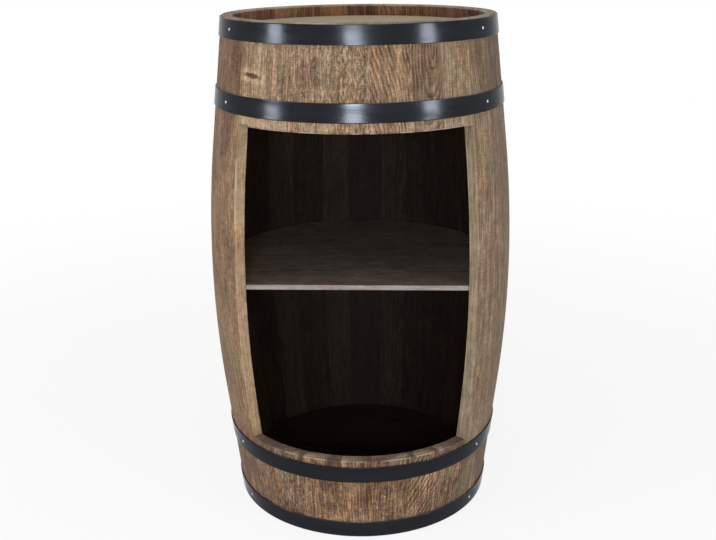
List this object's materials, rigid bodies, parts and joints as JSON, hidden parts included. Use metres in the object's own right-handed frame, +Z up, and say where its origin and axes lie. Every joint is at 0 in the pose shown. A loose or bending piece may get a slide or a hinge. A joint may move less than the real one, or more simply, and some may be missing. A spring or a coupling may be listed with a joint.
{
  "type": "barrel bar cabinet",
  "caption": "Upright wooden barrel with staves cut away at the front, a shelf inside, recessed heads and riveted steel hoops; it stores bottles and glasses.",
  "frame": {"origin": "centre of the ring of stave ends that the barrel stands on, on the barrel's axis", "axes": "+Z up along the barrel's axis, open front faces -Y, +X to the right seen from the front"},
  "size_m": [0.498, 0.4806, 0.81],
  "materials": {
    "staves": "brushed softwood-toned staves, stained grey-brown, matt",
    "head_boards": "planed boards, stained pale grey-brown, matt",
    "shelf_board": "stained panel, dark top, pale front edge, matt",
    "cleats": "stained softwood, matt",
    "dowels": "plain beech",
    "hoop_steel": "satin black lacquer over rolled steel strip",
    "hoop_rivets": "satin black",
    "bright_fasteners": "bright zinc"
  },
  "bodies": {
    "root": {"bottom_head_board_1": "head_boards", "bottom_head_board_2": "head_boards", "bottom_head_board_3": "head_boards", "bottom_head_board_4": "head_boards", "bottom_head_board_5": "head_boards", "bottom_hoop": "hoop_steel", "cleat_screws": "bright_fasteners", "full_stave_01": "staves", "full_stave_02": "staves", "full_stave_03": "staves", "full_stave_04": "staves", "full_stave_05": "staves", "full_stave_06": "staves", "full_stave_07": "staves", "full_stave_08": "staves", "full_stave_09": "staves", "full_stave_10": "staves", "full_stave_11": "staves", "full_stave_12": "staves", "full_stave_13": "staves", "full_stave_14": "staves", "full_stave_15": "staves", "full_stave_16": "staves", "full_stave_17": "staves", "full_stave_18": "staves", "full_stave_19": "staves", "head_dowels": "dowels", "hoop_nails": "bright_fasteners", "hoop_rivets": "hoop_rivets", "lower_front_stave_1": "staves", "lower_front_stave_2": "staves", "lower_front_stave_3": "staves", "lower_front_stave_4": "staves", "lower_front_stave_5": "staves", "lower_front_stave_6": "staves", "lower_front_stave_7": "staves", "lower_hoop": "hoop_steel", "shelf": "shelf_board", "shelf_cleat_1": "cleats", "shelf_cleat_2": "cleats", "shelf_cleat_3": "cleats", "shelf_cleat_4": "cleats", "top_head_board_1": "head_boards", "top_head_board_2": "head_boards", "top_head_board_3": "head_boards", "top_head_board_4": "head_boards", "top_head_board_5": "head_boards", "top_hoop": "hoop_steel", "upper_front_stave_1": "staves", "upper_front_stave_2": "staves", "upper_front_stave_3": "staves", "upper_front_stave_4": "staves", "upper_front_stave_5": "staves", "upper_front_stave_6": "staves", "upper_front_stave_7": "staves", "upper_hoop": "hoop_steel"}
  },
  "joints": []
}
